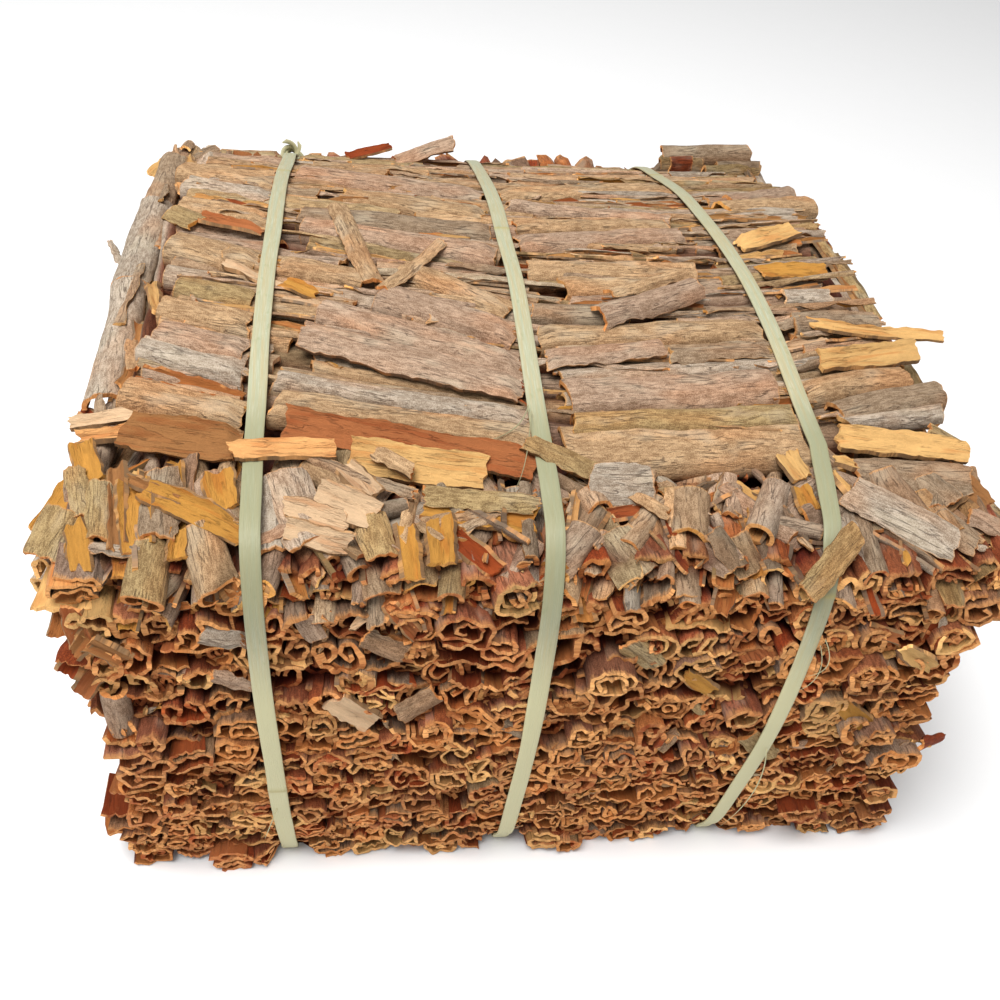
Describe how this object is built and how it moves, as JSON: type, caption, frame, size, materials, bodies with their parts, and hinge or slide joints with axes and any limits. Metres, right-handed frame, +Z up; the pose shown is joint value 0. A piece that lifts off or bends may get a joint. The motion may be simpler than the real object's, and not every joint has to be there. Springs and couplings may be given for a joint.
{
  "type": "cinnamon bark bale",
  "caption": "Pressed bale of curled split cinnamon bark with quill ends on its front and cross quills on top, held by flat split bamboo bands.",
  "frame": {"origin": "on the floor, under the middle of the bale's outer box", "axes": "+X runs across the bands from the left side to the right, +Y from the front face with the quill ends to the back, +Z up"},
  "size_m": [0.4372, 0.4388, 0.237],
  "materials": {
    "bark": "dry bark, grey brown outside and orange brown inside and at its broken ends",
    "bamboo": "split green bamboo, smooth, pale yellow green with fine lengthways fibres"
  },
  "bodies": {
    "root": {"bark_bale": "bark", "bamboo_band_left": "bamboo", "bamboo_band_middle": "bamboo", "bamboo_band_right": "bamboo"}
  },
  "joints": []
}
